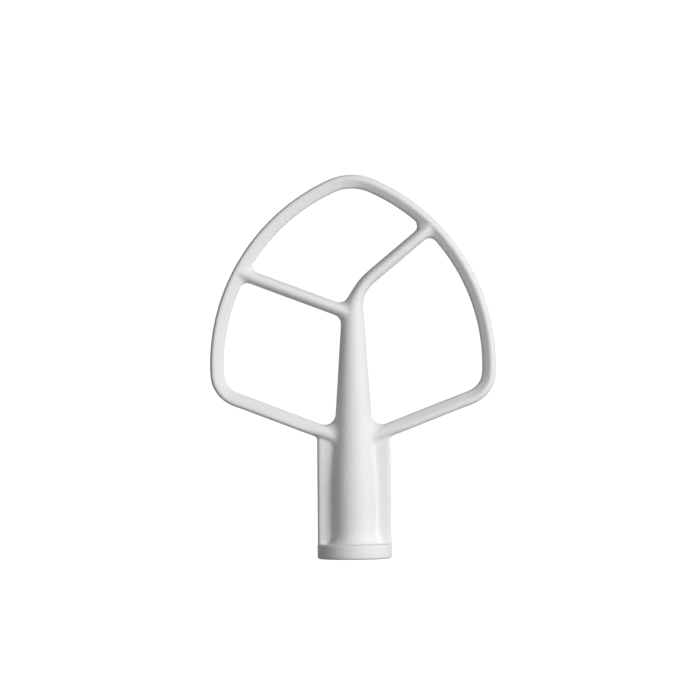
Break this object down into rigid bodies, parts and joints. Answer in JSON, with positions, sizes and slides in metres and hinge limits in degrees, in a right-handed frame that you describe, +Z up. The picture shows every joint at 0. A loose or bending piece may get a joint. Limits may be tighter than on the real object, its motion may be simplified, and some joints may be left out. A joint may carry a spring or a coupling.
{
  "type": "stand mixer flat beater",
  "caption": "White coated cast flat beater for a tilt-head stand mixer, with a pear-shaped loop, bent spokes, a tapered stem and a pin-lock shaft socket.",
  "frame": {"origin": "middle of the socket's mouth, in the plane of the collar's end face that the beater stands on", "axes": "+Z up the stem's axis to the top of the loop, +X across the loop to the side that the stem bends towards, -Y to the front of the loop, +Y to the side with the pin window"},
  "size_m": [0.1336, 0.0348, 0.1793],
  "materials": {
    "white_coating": "satin"
  },
  "bodies": {
    "root": {"flat_beater": "white_coating"}
  },
  "joints": []
}
